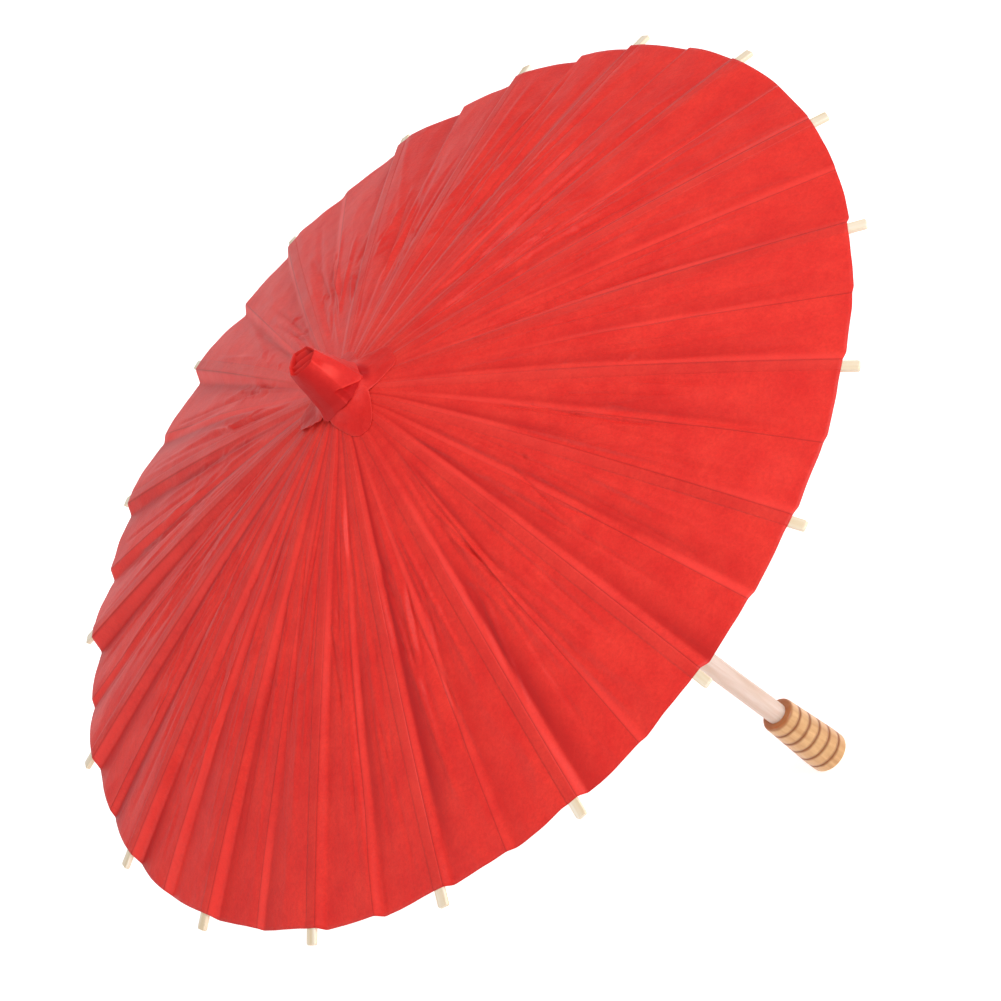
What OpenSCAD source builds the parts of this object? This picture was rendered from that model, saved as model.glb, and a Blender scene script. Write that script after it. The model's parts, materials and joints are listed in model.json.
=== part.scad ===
// Small oil paper parasol, open. The shaft stands on +Z with the grip's end face at z = 0.
// Nineteen bamboo ribs hang on a wire in the crown; nineteen stretchers reach down to the runner.

/* [Canopy] */
// Number of ribs, and as many stretchers
rib_count = 19; // [19:1:19]
// Distance from the shaft's axis to the tips of the open ribs
tip_radius = 210; // [200:1:220]
// Distance from the shaft's axis to the paper's edge
paper_radius = 204.5; // [190:0.5:206]
// Slope of an open rib below the horizontal, in degrees
open_angle = 18.5; // [17:0.1:21]
// Slope of a folded rib below the horizontal, in degrees
closed_angle = 86; // [84:0.1:86]
// Rise of a rib's middle above the straight line between its ends
rib_bow = 3; // [2:0.1:4]
// Depth of the pleats at the paper's edge
pleat_depth = 2.4; // [0.8:0.1:3]
// Thickness of the oiled paper with its glue line
paper_thick = 0.4; // [0.3:0.05:0.6]

/* [Ribs and stretchers] */
// Width of a rib from its fork to its tip
rib_width = 4.4; // [4:0.1:4.4]
// Thickness of a rib at its tip
rib_thick = 2; // [1.6:0.1:2.2]
// Distance along a rib from the crown wire to the stretcher's pivot
fork_reach = 96; // [90:1:100]
// Width of a stretcher between its tongues
stretcher_width = 2.8; // [2.4:0.1:2.9]
// Thickness of a stretcher
stretcher_thick = 2.4; // [2:0.1:2.4]

/* [Shaft, grip and hubs] */
// Diameter of the wooden shaft
shaft_d = 9.5; // [9.2:0.1:9.8]
// Height of the whole parasol
total_height = 341.5; // [335:0.5:345]
// Height of the plane through the rib tips
tip_height = 247; // [243:0.5:250]
// Length of the turned grip
grip_length = 37.5; // [36:0.5:40]
// Diameter of the grip at its lower end
grip_d = 18.8; // [18:0.1:20]
// Diameter of the grip at its upper end
grip_neck_d = 16; // [15:0.1:17]
// Number of burned rings on the grip
ring_count = 5; // [3:1:5]

/* [Paper cap] */
// Diameter of the cap where it stands on the canopy
cap_base_d = 24.4; // [24:0.1:26]
// Diameter of the cap's tip
cap_tip_d = 14; // [12:0.1:15]
// Reach of the cap's petals from the shaft's axis
petal_reach = 26; // [24:0.5:29]

/* [Hidden] */
function numbered(name, i) = str(name, i < 10 ? "_0" : "_", i);

pitch = 360 / rib_count;
eps = 0.01;

// The two hinge circles, and the wire and pins in them
hinge_r = 9.5;
wire_r = 0.25;
wire_bore_r = 0.35;
pin_r = 0.4;
pin_bore_r = 0.45;
tongue_w = 1.2;
tongue_slot = 1.6;
tongue_head_r = 1.6;

// A rib in its own plane: x runs out along the chord, z up from it
rib_length = (tip_radius - hinge_r) / cos(open_angle);
hinge_z = tip_height + rib_length * sin(open_angle);
function bow(s) = 4 * rib_bow * (s / rib_length) * (1 - s / rib_length);
rib_top = rib_thick / 2;
fork_depth = 3.4;
fork_drop = 0.8;
fork_z = bow(fork_reach) - fork_drop;
fork_inner = 6.5;
fork_outer = 18;
rib_steps = 14;

// The stretcher is as long as the rib's pivot distance, so its foot stays on the hinge circle
stretcher_length = norm([fork_reach, fork_z]);
fork_angle = atan2(fork_z, fork_reach);
pivot_open = open_angle - fork_angle;
pivot_closed = closed_angle - fork_angle;
runner_drop = 2 * stretcher_length * sin(pivot_open);
runner_travel = 2 * stretcher_length * (sin(pivot_closed) - sin(pivot_open));
runner_z = hinge_z - runner_drop;
tongue_reach = 18;
tongue_taper = 6;

// Hubs, and the bores in them
glued_bore_r = shaft_d / 2 + 0.05;
slot_floor_r = 7.4;
crown_r = 11.5;
crown_below = 5.8;
crown_roof = 2.2;
crown_shoulder = 1.2;
crown_dome_h = 5;
crown_dome_r = 7.5;
runner_r = 12.5;
runner_tooth_h = 7;
sleeve_r = 7.8;
sleeve_below = 27;
sleeve_above = 3.2;
runner_bore_r = shaft_d / 2 + 0.08;
keyway_w = 2;
keyway_r = 6.6;

// Catch: a sprung steel leaf in a slot of the shaft, halfway between two ribs
catch_turn = pitch / 2;
catch_w = 1.2;
catch_slot_w = 1.8;
catch_top = runner_z - sleeve_below - 0.4;
catch_height = 20;
catch_pivot = [1.2, catch_top - catch_height];
catch_reach = 6.2;
catch_pin_r = 0.5;
catch_bore_r = 0.56;
catch_thick = 1.5;
catch_slot_floor = -0.5;

// Canopy: eight points of each pleated sector, on rings from the hub to the edge
pleat_profile = [1, 1, 0.1, 0.35, 0.85, 0.85, 0.1, 0.35];
pleat_at = [-0.06, 0.06, 0.2, 0.36, 0.47, 0.53, 0.66, 0.86];
canopy_inner_r = 12.6;
canopy_gap = 0.3;
ring_radii = [for (k = [0 : 10]) canopy_inner_r + (paper_radius - canopy_inner_r) * k / 10];

// Cap
cap_height = 27;
cap_wall = 0.6;
cap_base_z = total_height - cap_height;
shaft_top_z = total_height - 9;

// Grip
grip_bore_floor = 7.5;
grip_round = 1.6;
grip_band = 6.5;
ring_pitch = 5.5;
ring_first = 8.6;
ring_depth = 0.35;
ring_width = 1.1;

// Turns a thing into the vertical plane at the angle of rib i
module around(i) {
    rotate([0, 0, i * pitch]) children();
}

// Lowers a thing drawn on the rib's own axes to the open slope at the crown wire
module at_rib() {
    translate([hinge_r, 0, hinge_z]) rotate([0, open_angle, 0]) children();
}

// A round bar across the plane of a rib
module across(r, length) {
    rotate([90, 0, 0]) cylinder(r = r, h = length, center = true, $fn = 32);
}

// A long round bore down the shaft's axis
module axis_bore(r) {
    cylinder(r = r, h = total_height, $fn = 96);
}

// A strip's side view given as points, made w wide across its plane
module strip(points, w) {
    rotate([90, 0, 0]) linear_extrude(height = w, center = true) polygon(points);
}

// Depth of a rib below its top face at distance s from the crown wire: deepest at the fork
root_depth = 2.6;
fork_stations = [fork_reach - 16, fork_reach - 8, fork_reach + 8, fork_reach + 30];
function rib_depth(s) = lookup(s, [[fork_stations[0], root_depth], [fork_stations[1], fork_depth],
    [fork_stations[2], fork_depth], [fork_stations[3], rib_thick]]);

tip_chamfer = 1.2;
rib_stations = concat([for (k = [0 : rib_steps - 1]) rib_length * k / rib_steps], [rib_length - tip_chamfer]);
rib_under_stations = concat([for (s = rib_stations) if (s < fork_stations[0] - 4) s], fork_stations,
    [for (s = rib_stations) if (s > fork_stations[3] + 4) s]);

// Side view of a rib: a gently bowed strip with a deeper fork and a chamfered tip
function rib_side() = concat(
    [for (s = rib_stations) [s, bow(s) + rib_top]],
    [[rib_length, rib_top - 0.5], [rib_length, 0.5 - rib_top]],
    [for (k = [len(rib_under_stations) - 1 : -1 : 0])
        let (s = rib_under_stations[k]) [s, bow(s) + rib_top - rib_depth(s)]]);

// Plan of a rib: a thin tongue in the crown that widens to the fork and keeps its width to the tip
tongue_end = 6;
shoulder_end = 10;
shoulder_w = 2.2;
function rib_plan() = [
    [-2, tongue_w / 2], [tongue_end, tongue_w / 2], [shoulder_end, shoulder_w / 2],
    [fork_reach + 4, rib_width / 2], [rib_length - 0.8, rib_width / 2], [rib_length, rib_width / 2 - 0.6],
    [rib_length, 0.6 - rib_width / 2], [rib_length - 0.8, -rib_width / 2], [fork_reach + 4, -rib_width / 2],
    [shoulder_end, -shoulder_w / 2], [tongue_end, -tongue_w / 2], [-2, -tongue_w / 2]];

// One rib with its hinge hole, its fork and the pin across the fork
module rib() {
    color("wheat") at_rib() {
        difference() {
            intersection() {
                union() {
                    strip(rib_side(), rib_width + 1);
                    across(tongue_head_r, rib_width + 1);
                }
                translate([0, 0, -10]) linear_extrude(height = 25) polygon(rib_plan());
            }
            across(wire_bore_r, 10);
            translate([fork_reach - fork_inner, -tongue_slot / 2, fork_z - 4])
                cube([fork_inner + fork_outer, tongue_slot, 8]);
            translate([fork_reach, 0, fork_z]) across(pin_bore_r, 10);
        }
        translate([fork_reach, 0, fork_z]) across(pin_r, rib_width - 0.4);
    }
}

// Plan of a stretcher, drawn from the fork's pin towards the runner
function stretcher_plan() =
    let (n = tongue_w / 2, w = stretcher_width / 2, b = stretcher_length)
    [[-2, n], [tongue_reach, n], [tongue_reach + tongue_taper, w],
     [b - tongue_reach - tongue_taper, w], [b - tongue_reach, n], [b + 2, n],
     [b + 2, -n], [b - tongue_reach, -n], [b - tongue_reach - tongue_taper, -w],
     [tongue_reach + tongue_taper, -w], [tongue_reach, -n], [-2, -n]];

// One stretcher with a round eye at each end
module stretcher() {
    color("burlywood") at_rib() translate([fork_reach, 0, fork_z])
        rotate([0, 180 - 2 * pivot_open - fork_angle, 0]) difference() {
            intersection() {
                union() {
                    translate([0, -5, -stretcher_thick / 2])
                        cube([stretcher_length, 10, stretcher_thick]);
                    across(1.5, 10);
                    translate([stretcher_length, 0, 0]) across(1.5, 10);
                }
                translate([0, 0, -5]) linear_extrude(height = 10) polygon(stretcher_plan());
            }
            across(pin_bore_r, 10);
            translate([stretcher_length, 0, 0]) across(wire_bore_r, 10);
        }
}

// The ring of slots that the tongues swing in
module slots(low, high) {
    for (i = [0 : rib_count - 1]) around(i)
        translate([slot_floor_r, -tongue_slot / 2, low]) cube([20, tongue_slot, high - low]);
}

// Dowel with a slot for the catch and a hole across it for the catch's pin
module shaft() {
    color("bisque") difference() {
        union() {
            translate([0, 0, grip_bore_floor])
                cylinder(d = shaft_d, h = shaft_top_z - 1 - grip_bore_floor, $fn = 96);
            translate([0, 0, shaft_top_z - 1])
                cylinder(d1 = shaft_d, d2 = shaft_d - 2, h = 1, $fn = 96);
        }
        rotate([0, 0, catch_turn]) {
            translate([catch_slot_floor, -catch_slot_w / 2, catch_pivot[1] - 1.5])
                cube([10, catch_slot_w, catch_height + 4]);
            translate([catch_pivot[0], 0, catch_pivot[1]]) across(catch_bore_r, 20);
        }
    }
}

// Slope of the grip's side at height z
function grip_r(z) = z < grip_round + grip_band ? grip_d / 2 :
    grip_d / 2 - (grip_d - grip_neck_d) / 2 * (z - grip_round - grip_band) / (grip_length - grip_round - grip_band);
ring_heights = [for (k = [0 : ring_count - 1]) grip_length - ring_first - k * ring_pitch];

// Half section of the turned grip, with rounded ends and a shallow groove at each burned ring
function grip_side() = concat(
    [[0, 0], [grip_d / 2 - grip_round, 0]],
    [for (a = [15 : 15 : 90]) [grip_d / 2 - grip_round * (1 - sin(a)), grip_round * (1 - cos(a))]],
    [for (k = [ring_count - 1 : -1 : 0], step = [-1, 0, 1])
        let (z = ring_heights[k] + step * ring_width / 2)
        if (z > grip_round) [grip_r(z) - (step == 0 ? ring_depth : 0), z]],
    [for (a = [0 : 15 : 90])
        [grip_neck_d / 2 - 1.4 * (1 - cos(a)), grip_length - 1.4 * (1 - sin(a))]],
    [[0, grip_length]]);

// Turned wooden grip, glued on the lower end of the shaft
module grip() {
    color("peru") difference() {
        rotate_extrude($fn = 96) polygon(grip_side());
        translate([0, 0, grip_bore_floor]) axis_bore(glued_bore_r);
    }
}

// Turned crown: slots for the ribs below, a sloping shoulder and a dome above
module crown_hub() {
    color("tan") difference() {
        union() {
            translate([0, 0, hinge_z - crown_below]) cylinder(r = crown_r, h = crown_below, $fn = 96);
            translate([0, 0, hinge_z])
                cylinder(r1 = crown_r, r2 = crown_r - crown_shoulder, h = crown_roof, $fn = 96);
            translate([0, 0, hinge_z + crown_roof])
                cylinder(r1 = crown_r - crown_shoulder, r2 = crown_dome_r, h = crown_dome_h, $fn = 96);
        }
        axis_bore(glued_bore_r);
        slots(hinge_z - 20, hinge_z + crown_roof - 0.2);
        translate([0, 0, hinge_z]) rotate_extrude($fn = 96)
            translate([hinge_r, 0]) circle(r = wire_bore_r, $fn = 24);
    }
}

// Wire ring that all nineteen ribs hang on
module crown_wire() {
    color("darkgray") translate([0, 0, hinge_z]) rotate_extrude($fn = 96)
        translate([hinge_r, 0]) circle(r = wire_r, $fn = 24);
}

// Turned runner: a sleeve that slides on the shaft, with a ring of teeth for the stretchers
module runner() {
    color("tan") difference() {
        union() {
            translate([0, 0, runner_z - sleeve_below])
                cylinder(r = sleeve_r, h = sleeve_below + runner_tooth_h / 2 + sleeve_above, $fn = 96);
            translate([0, 0, runner_z - runner_tooth_h / 2])
                cylinder(r = runner_r, h = runner_tooth_h, $fn = 96);
        }
        axis_bore(runner_bore_r);
        slots(runner_z - 10, runner_z + 10);
        rotate([0, 0, catch_turn]) translate([0, -keyway_w / 2, runner_z - 50])
            cube([keyway_r, keyway_w, 100]);
    }
}

// Side view of the catch: a leaf that leans out of its slot to a flat shoulder under the runner
catch_side = [[-catch_thick / 2, -0.9], [catch_thick / 2, -0.9], [catch_thick / 2 + 0.4, 2],
    [catch_reach - catch_pivot[0], catch_height - 3.4], [catch_reach - catch_pivot[0], catch_height],
    [catch_reach - catch_pivot[0] - catch_thick, catch_height],
    [catch_reach - catch_pivot[0] - catch_thick - 0.4, catch_height - 4], [-catch_thick / 2, 2]];

// Sprung steel catch that holds the runner up
module catch() {
    color("silver") rotate([0, 0, catch_turn]) translate([catch_pivot[0], 0, catch_pivot[1]]) difference() {
        strip(catch_side, catch_w);
        across(catch_bore_r, 2 * catch_w);
    }
}

// Steel pin across the shaft that the catch turns on
module catch_pin() {
    color("gray") rotate([0, 0, catch_turn]) translate([catch_pivot[0], 0, catch_pivot[1]])
        across(catch_pin_r, shaft_d - 1);
}

// A point of the canopy: angle and radius, and a height above the ribs' top faces
function rib_top_z(r) =
    let (s = (r - hinge_r) / cos(open_angle))
    hinge_z - s * sin(open_angle) + (bow(s) + rib_top) / cos(open_angle);
function canopy_point(a, r, fold, lift) =
    [r * cos(a), r * sin(a), rib_top_z(r) + canopy_gap + lift - pleat_depth * (1 - fold) * r / paper_radius];
function canopy_layer(lift) = [for (r = ring_radii, i = [0 : rib_count - 1], j = [0 : len(pleat_at) - 1])
    canopy_point((i + pleat_at[j]) * pitch, r, pleat_profile[j], lift)];

// Pleated paper canopy as one closed sheet with a hole for the crown
module canopy() {
    n = rib_count * len(pleat_at);
    rings = len(ring_radii);
    under = n * rings;
    color("red") polyhedron(
        points = concat(canopy_layer(paper_thick), canopy_layer(0)),
        faces = concat(
            [for (k = [0 : rings - 2], j = [0 : n - 1], half = [0, 1])
                let (a = k * n + j, b = k * n + (j + 1) % n)
                half == 0 ? [a, a + n, b + n] : [a, b + n, b]],
            [for (k = [0 : rings - 2], j = [0 : n - 1], half = [0, 1])
                let (a = under + k * n + j, b = under + k * n + (j + 1) % n)
                half == 0 ? [a, b + n, a + n] : [a, b, b + n]],
            [for (j = [0 : n - 1], half = [0, 1])
                let (b = (j + 1) % n) half == 0 ? [j, b, under + b] : [j, under + b, under + j]],
            [for (j = [0 : n - 1], half = [0, 1])
                let (a = (rings - 1) * n + j, b = (rings - 1) * n + (j + 1) % n)
                half == 0 ? [a, under + b, b] : [a, under + a, under + b]]));
}

// Rolled paper cap, open below over the crown and closed at its tip
module cap_cone() {
    color("firebrick") difference() {
        translate([0, 0, cap_base_z]) cylinder(d1 = cap_base_d, d2 = cap_tip_d, h = cap_height, $fn = 96);
        translate([0, 0, cap_base_z - eps])
            cylinder(d1 = cap_base_d - 2 * cap_wall, d2 = cap_tip_d - 2 * cap_wall, h = cap_height - 4, $fn = 96);
        translate([0, 0, total_height - 3]) cylinder(d = cap_tip_d - 2 * cap_wall - 1, h = 4, $fn = 96);
    }
}

// The cap's petals, which lie on the canopy around its foot
petal_turns = [24, 100, 212, 308];
petal_lift = 0.5;
module cap_skirt() {
    color("crimson") intersection() {
        rotate_extrude($fn = 96) polygon([
            for (r = [cap_base_d / 2 + 0.2, petal_reach]) [r, rib_top_z(r) + canopy_gap + paper_thick + petal_lift],
            for (r = [petal_reach, cap_base_d / 2 + 0.2])
                [r, rib_top_z(r) + canopy_gap + paper_thick + petal_lift - 0.35]]);
        union() {
            translate([0, 0, hinge_z - 40]) cylinder(r = cap_base_d / 2 + 2, h = 80, $fn = 96);
            for (a = petal_turns) rotate([0, 0, a]) translate([0, 0, hinge_z - 40])
                linear_extrude(height = 80) polygon([[5, -9], [20, -10], [petal_reach, -6],
                    [petal_reach, 6], [20, 10], [5, 9]]);
        }
    }
}

shaft();
grip();
crown_hub();
crown_wire();
canopy();
cap_cone();
cap_skirt();
runner();
catch();
catch_pin();
for (i = [0 : rib_count - 1]) {
    around(i) rib();
    around(i) stretcher();
}
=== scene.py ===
"""Looks of a small red oil paper parasol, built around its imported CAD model. Lengths are in metres."""
import json
import math

import bmesh
import bpy
import numpy as np
from mathutils import Matrix, Vector

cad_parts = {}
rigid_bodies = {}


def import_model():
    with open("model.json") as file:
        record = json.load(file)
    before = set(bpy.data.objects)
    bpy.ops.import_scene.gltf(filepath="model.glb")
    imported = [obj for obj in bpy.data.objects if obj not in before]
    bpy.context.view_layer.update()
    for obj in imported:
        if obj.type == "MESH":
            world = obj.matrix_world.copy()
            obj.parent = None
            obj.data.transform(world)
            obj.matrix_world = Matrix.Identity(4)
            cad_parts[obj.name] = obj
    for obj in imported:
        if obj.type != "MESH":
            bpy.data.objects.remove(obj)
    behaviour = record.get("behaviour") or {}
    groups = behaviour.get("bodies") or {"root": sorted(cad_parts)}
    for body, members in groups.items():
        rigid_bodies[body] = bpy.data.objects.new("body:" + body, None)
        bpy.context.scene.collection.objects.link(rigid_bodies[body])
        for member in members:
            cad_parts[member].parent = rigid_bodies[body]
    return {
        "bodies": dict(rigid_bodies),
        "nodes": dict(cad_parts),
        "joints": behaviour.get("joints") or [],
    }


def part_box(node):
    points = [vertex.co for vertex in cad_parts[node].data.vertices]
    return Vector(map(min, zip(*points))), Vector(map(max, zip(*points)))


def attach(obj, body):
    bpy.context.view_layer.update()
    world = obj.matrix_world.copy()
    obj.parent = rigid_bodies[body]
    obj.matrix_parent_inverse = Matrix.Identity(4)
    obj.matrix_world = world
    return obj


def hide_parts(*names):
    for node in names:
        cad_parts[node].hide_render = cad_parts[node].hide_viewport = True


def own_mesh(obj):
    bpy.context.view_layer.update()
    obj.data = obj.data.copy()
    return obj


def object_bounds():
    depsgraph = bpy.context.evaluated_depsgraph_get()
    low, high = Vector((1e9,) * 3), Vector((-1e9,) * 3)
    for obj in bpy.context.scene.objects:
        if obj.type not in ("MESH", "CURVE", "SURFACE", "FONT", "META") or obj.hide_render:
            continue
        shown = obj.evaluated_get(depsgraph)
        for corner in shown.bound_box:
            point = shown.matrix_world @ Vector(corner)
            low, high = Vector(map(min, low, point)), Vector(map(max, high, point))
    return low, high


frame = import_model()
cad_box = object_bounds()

MM = 0.001

# ---------------------------------------------------------------- what the frame says
joints = {j["name"]: j for j in frame["joints"]}
RIBS = sum(name.startswith("rib_") for name in frame["bodies"])
PITCH = 2 * math.pi / RIBS
HINGE_R, _, HINGE_Z = joints["rib_00_hinge"]["pos_m"]
FORK_R, _, FORK_Z = joints["stretcher_00_hinge"]["pos_m"]
RUNNER_Z = 2 * FORK_Z - HINGE_Z
TOTAL_Z = cad_box[1].z
CAP_BASE_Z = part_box("cap_cone")[0].z
PAPER_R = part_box("canopy")[1].x
GRIP_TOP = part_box("grip")[1].z
GRIP_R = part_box("grip")[1].x
SHAFT_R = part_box("shaft")[1].x

# ---------------------------------------------------------------- the open rib
OPEN = math.radians(18.5)
TIP_R = 210 * MM
RIB_LENGTH = (TIP_R - HINGE_R) / math.cos(OPEN)
RIB_BOW = 3 * MM
RIB_TOP = 1 * MM
FORK_S = 96 * MM
FORK_DROP = 0.8 * MM
STRETCHER_LENGTH = math.hypot(FORK_R - HINGE_R, HINGE_Z - FORK_Z)


def bow(s):
    """Rise of a rib's middle above its chord, at distance s from the crown wire."""
    share = s / RIB_LENGTH
    return 4 * RIB_BOW * share * (1 - share)


def rib_half_width(s):
    """Half the width of a rib, which widens from its tongue to its fork."""
    return np.interp(s, [6 * MM, 10 * MM, 100 * MM], [0.6 * MM, 1.1 * MM, 2.2 * MM])


def rib_depth(s):
    """Depth of a rib below its top face: deepest at the fork."""
    return np.interp(s, [80 * MM, 88 * MM, 104 * MM, 126 * MM], [2.6 * MM, 3.4 * MM, 3.4 * MM, 2 * MM])


def rib_top_z(r):
    """Height of a rib's top face at distance r from the shaft's axis."""
    s = (r - HINGE_R) / math.cos(OPEN)
    return HINGE_Z - s * math.sin(OPEN) + (bow(s) + RIB_TOP) / math.cos(OPEN)


def at_rib(i):
    """From a rib's own axes, x along its chord and z up from it, to the open rib i."""
    hinge = Matrix.Translation((HINGE_R, 0, HINGE_Z)) @ Matrix.Rotation(OPEN, 4, "Y")
    return Matrix.Rotation(i * PITCH, 4, "Z") @ hinge


def plan_axes(a):
    """Outward and tangential unit vectors at an angle from +X."""
    return Vector((math.cos(a), math.sin(a), 0)), Vector((-math.sin(a), math.cos(a), 0))


# ---------------------------------------------------------------- meshes
def make_object(name, points, faces, smooth=True):
    """A mesh object with outward normals."""
    mesh = bpy.data.meshes.new(name)
    mesh.from_pydata([tuple(p) for p in points], [], [tuple(f) for f in faces])
    mesh.validate()
    work = bmesh.new()
    work.from_mesh(mesh)
    bmesh.ops.recalc_face_normals(work, faces=work.faces)
    work.to_mesh(mesh)
    work.free()
    mesh.polygons.foreach_set("use_smooth", [smooth] * len(mesh.polygons))
    obj = bpy.data.objects.new(name, mesh)
    bpy.context.scene.collection.objects.link(obj)
    return obj


def add_attribute(obj, name, values):
    """A number, or a vector, for each vertex, which a material reads by name."""
    values = np.asarray(values, np.float32)
    kind, field = ("FLOAT", "value") if values.ndim == 1 else ("FLOAT_VECTOR", "vector")
    obj.data.attributes.new(name, kind, "POINT").data.foreach_set(field, values.ravel())


def sheet_object(name, upper, lower, tints):
    """A thin closed sheet between two grids of points, rows by columns by 3, with tints for its points."""
    rows, cols = upper.shape[:2]
    points = np.concatenate([upper.reshape(-1, 3), lower.reshape(-1, 3)])
    below = rows * cols
    faces = []
    for k in range(rows - 1):
        for a in range(k * cols, (k + 1) * cols - 1):
            faces.append((a, a + 1, a + 1 + cols, a + cols))
            faces.append((below + a, below + a + cols, below + a + 1 + cols, below + a + 1))
    for k in (0, rows - 1):
        for a in range(k * cols, (k + 1) * cols - 1):
            b = a + 1
            faces.append((a, below + a, below + b, b) if k == 0 else (a, b, below + b, below + a))
    for k in range(rows - 1):
        for a in (k * cols, k * cols + cols - 1):
            b = a + cols
            faces.append((a, b, below + b, below + a) if a % cols == 0 else (a, below + a, below + b, b))
    obj = make_object(name, points, faces)
    for key, values in tints.items():
        add_attribute(obj, key, np.concatenate([values.ravel(), values.ravel()]))
    return obj


def loft(name, rings):
    """A closed skin over rings of points, each a list of the same number of points."""
    count = len(rings[0])
    points = [p for ring in rings for p in ring]
    faces = []
    for k in range(len(rings) - 1):
        for j in range(count):
            a, b = k * count + j, k * count + (j + 1) % count
            faces.append((a, b, b + count, a + count))
    faces.append(tuple(range(count))[::-1])
    faces.append(tuple(range((len(rings) - 1) * count, len(rings) * count)))
    return make_object(name, points, faces)


def lathe(name, outline, turns=96):
    """A skin of revolution about Z over an outline of (radius, height), closed flat at both ends."""
    angles = np.linspace(0, 2 * math.pi, turns, endpoint=False)
    rings = [[(r * math.cos(a), r * math.sin(a), z) for a in angles] for r, z in outline]
    return loft(name, rings)


def rounded_ring(half_w, low, high, corner, steps=3):
    """Points (y, z) round a rectangle with rounded corners."""
    corner = min(corner, half_w * 0.98, (high - low) * 0.49)
    ring = []
    for turn, (y, z) in enumerate([(half_w, high), (-half_w, high), (-half_w, low), (half_w, low)]):
        cy = y - math.copysign(corner, y)
        cz = z - corner if z == high else z + corner
        for k in range(steps + 1):
            a = (turn + k / steps) * math.pi / 2
            ring.append((cy + corner * math.cos(a), cz + corner * math.sin(a)))
    return ring


def join(name, *parts):
    """Parts joined into the first, which takes the name."""
    bpy.ops.object.select_all(action="DESELECT")
    for part in parts:
        part.select_set(True)
    bpy.context.view_layer.objects.active = parts[0]
    bpy.ops.object.join()
    parts[0].name = name
    return parts[0]


def cut(obj, tool):
    """Takes tool out of obj, and removes tool."""
    modifier = obj.modifiers.new("cut", "BOOLEAN")
    modifier.operation = "DIFFERENCE"
    modifier.solver = "EXACT"
    modifier.object = tool
    graph = bpy.context.evaluated_depsgraph_get()
    mesh = bpy.data.meshes.new_from_object(obj.evaluated_get(graph))
    obj.modifiers.clear()
    obj.data = mesh
    bpy.data.objects.remove(tool)
    return obj


def box_object(low, high):
    """A sharp-edged box between two corners."""
    corners = [(x, y, z) for x in (low[0], high[0]) for y in (low[1], high[1]) for z in (low[2], high[2])]
    faces = [(0, 1, 3, 2), (4, 6, 7, 5), (0, 4, 5, 1), (2, 3, 7, 6), (0, 2, 6, 4), (1, 5, 7, 3)]
    return make_object("cutter", corners, faces, smooth=False)


def rod_object(centre, radius, length, turns=24):
    """A round rod along Y."""
    angles = np.linspace(0, 2 * math.pi, turns, endpoint=False)
    rings = [[(centre[0] + radius * math.cos(a), y, centre[1] + radius * math.sin(a)) for a in angles]
             for y in (-length / 2, length / 2)]
    return loft("rod", rings)


def ring_object(name, radius, z, thick, turns=96, sides=10):
    """A torus about Z."""
    points, faces = [], []
    for k in range(turns):
        a = 2 * math.pi * k / turns
        for j in range(sides):
            b = 2 * math.pi * j / sides
            r = radius + thick * math.cos(b)
            points.append((r * math.cos(a), r * math.sin(a), z + thick * math.sin(b)))
            faces.append((k * sides + j, k * sides + (j + 1) % sides,
                          (k + 1) % turns * sides + (j + 1) % sides, (k + 1) % turns * sides + j))
    return make_object(name, points, faces)


def turn_to(a, centre):
    """Angle from centre to a, from -pi to pi."""
    return (a - centre + math.pi) % (2 * math.pi) - math.pi


def bump_at(a, centre, half_width):
    """1 at an angle, falling to 0 at half_width degrees from it."""
    return np.clip(1 - np.abs(turn_to(a, math.radians(centre))) / math.radians(half_width), 0, 1)


def smooth_step(x):
    """A number from 0 to 1 eased at both ends."""
    return x * x * (3 - 2 * x)


def value_noise(seed, x, y, wrap=64):
    """Smooth noise from -1 to 1, one lattice cell per unit. x closes on itself after wrap cells."""
    table = np.random.default_rng(seed).uniform(-1, 1, (wrap, 64))
    x0, y0 = np.floor(x).astype(int), np.floor(y).astype(int)
    u, v = smooth_step(x - x0), smooth_step(y - y0)
    left = table[x0 % wrap, y0 % 64] * (1 - v) + table[x0 % wrap, (y0 + 1) % 64] * v
    right = table[(x0 + 1) % wrap, y0 % 64] * (1 - v) + table[(x0 + 1) % wrap, (y0 + 1) % 64] * v
    return left * (1 - u) + right * u


# ---------------------------------------------------------------- materials
def srgb(r, g, b):
    """An 8-bit sRGB colour as linear RGBA."""
    channels = [c / 255 for c in (r, g, b)]
    return tuple(c / 12.92 if c <= 0.04045 else ((c + 0.055) / 1.055) ** 2.4 for c in channels) + (1,)


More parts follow.
